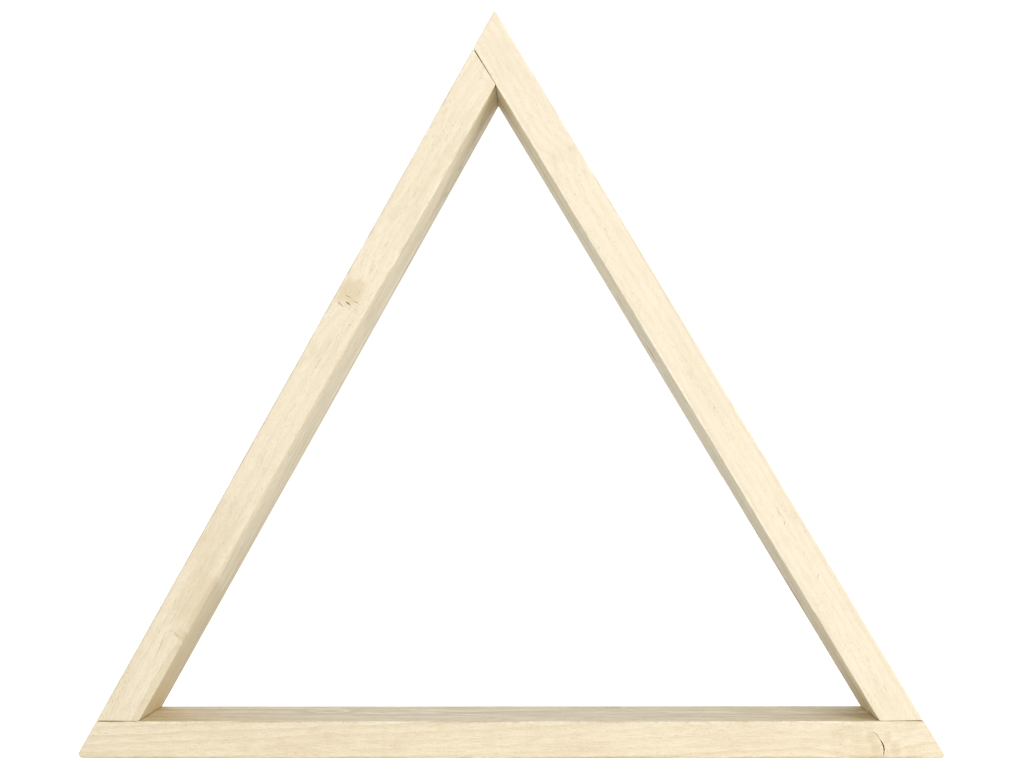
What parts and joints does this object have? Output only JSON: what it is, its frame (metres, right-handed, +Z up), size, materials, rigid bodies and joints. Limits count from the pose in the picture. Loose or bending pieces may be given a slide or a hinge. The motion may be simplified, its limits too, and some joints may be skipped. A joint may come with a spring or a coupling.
{
  "type": "triangle rack",
  "caption": "Free-standing triangle rack: an open triangular shelf of planed softwood boards, butt-jointed at the corners and held by countersunk screws.",
  "frame": {"origin": "middle of the underside, half way between the two base tips and between front and back", "axes": "+X right along the base, +Y from the front edge to the back edge, +Z up"},
  "size_m": [0.419, 0.094, 0.3611],
  "materials": {
    "softwood": "planed, unfinished pale softwood",
    "screw_steel": "bright zinc-plated"
  },
  "bodies": {
    "root": {"base_board": "softwood", "left_board": "softwood", "right_board": "softwood", "left_foot_screw_front": "screw_steel", "left_foot_screw_back": "screw_steel", "right_foot_screw_front": "screw_steel", "right_foot_screw_back": "screw_steel", "apex_screw_front": "screw_steel", "apex_screw_back": "screw_steel"}
  },
  "joints": []
}
